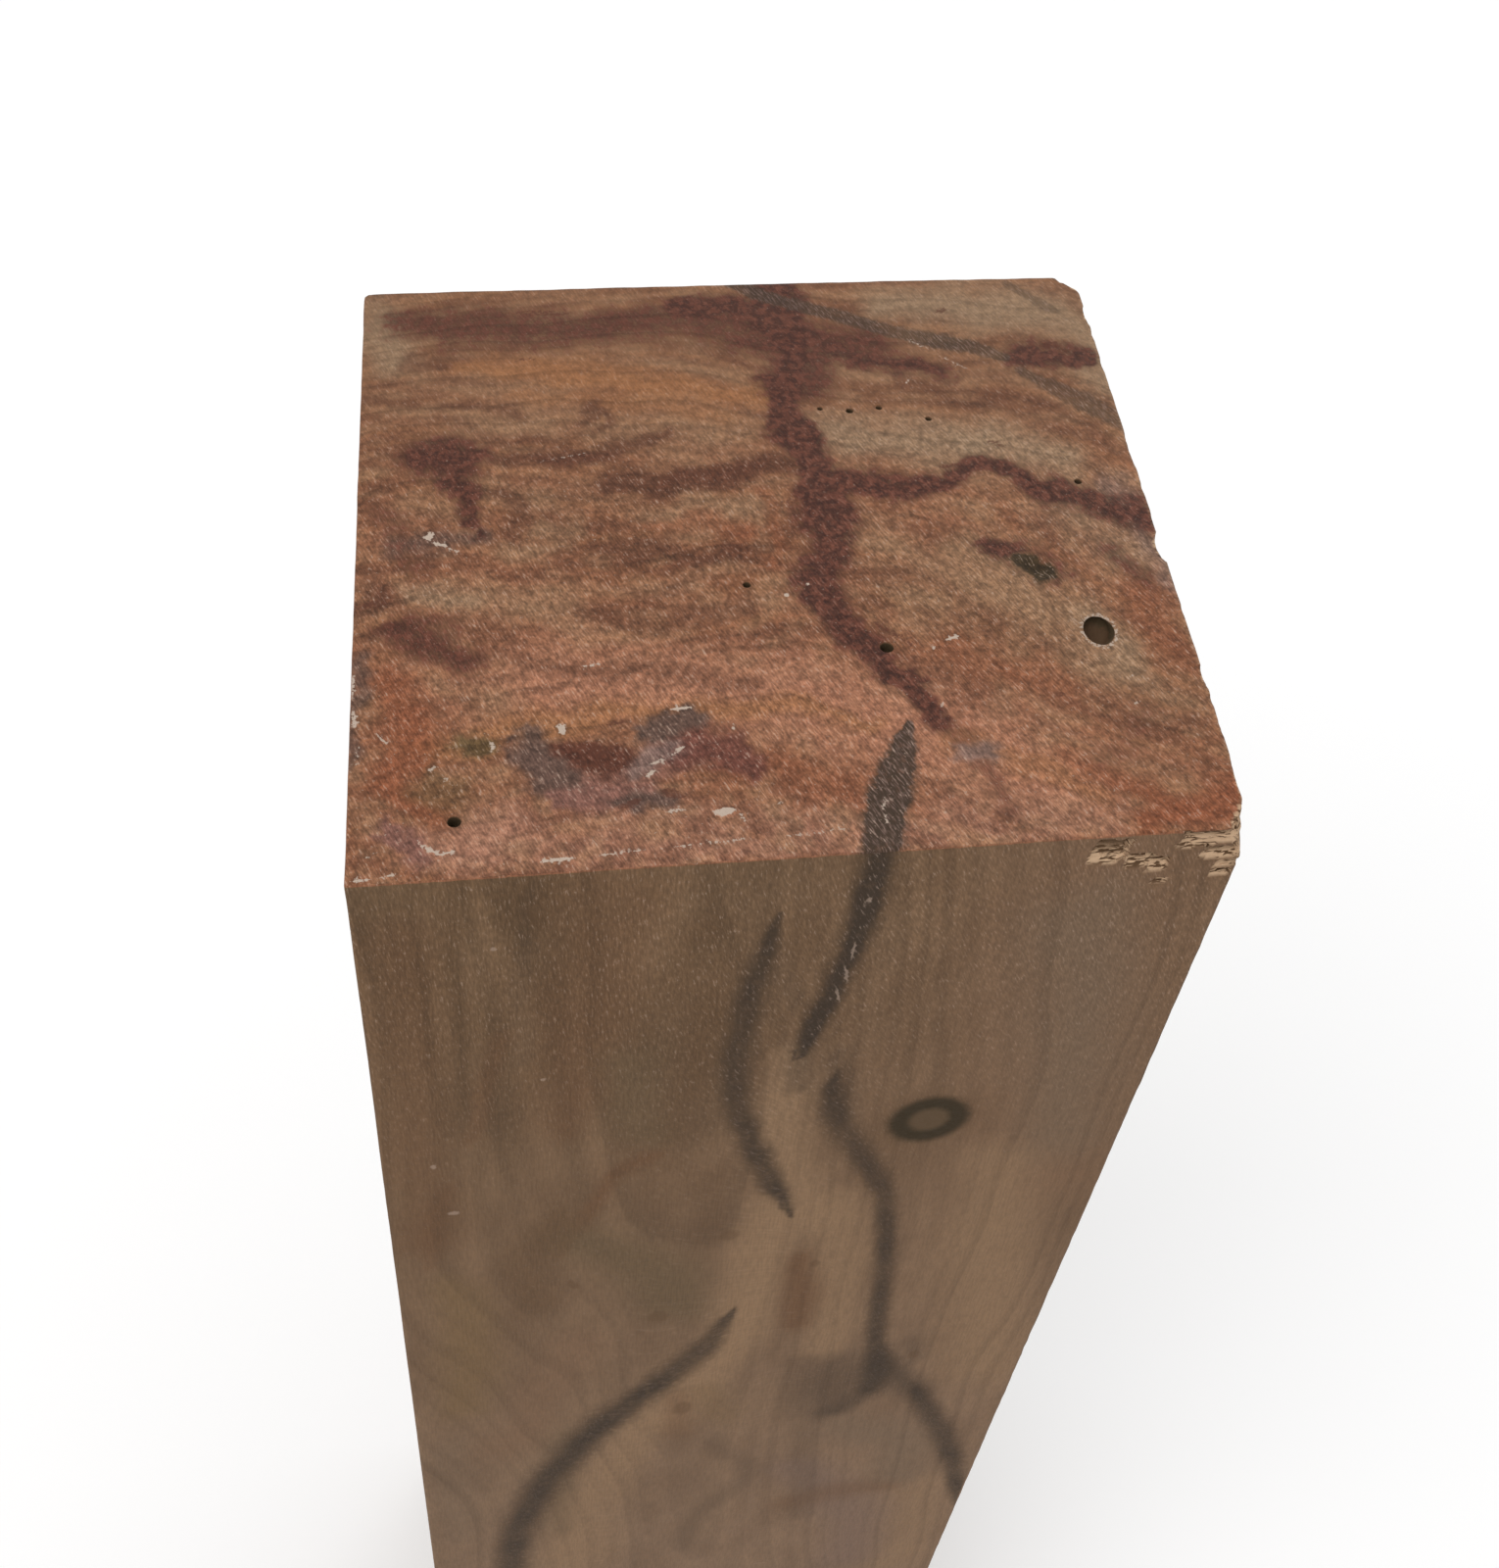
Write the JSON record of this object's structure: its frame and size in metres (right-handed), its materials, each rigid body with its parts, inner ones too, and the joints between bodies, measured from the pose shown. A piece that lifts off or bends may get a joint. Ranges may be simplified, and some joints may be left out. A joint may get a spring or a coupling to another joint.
{
  "type": "wood turning blank",
  "caption": "Square sawn hardwood stick with crosscut ends, spalt-lined and slightly out of square, standing on its end ready for a lathe.",
  "frame": {"origin": "centre of the lower end, at the middle of the bounding box's base", "axes": "+Z along the grain towards the upper end; -Y out of the front long face; +X to the right of the front face"},
  "size_m": [0.079, 0.076, 0.305],
  "materials": {
    "sawn_wood": "bandsawn, dry and unfinished; the upper end is wetted by a thin sealer"
  },
  "bodies": {
    "root": {"turning_blank": "sawn_wood"}
  },
  "joints": []
}
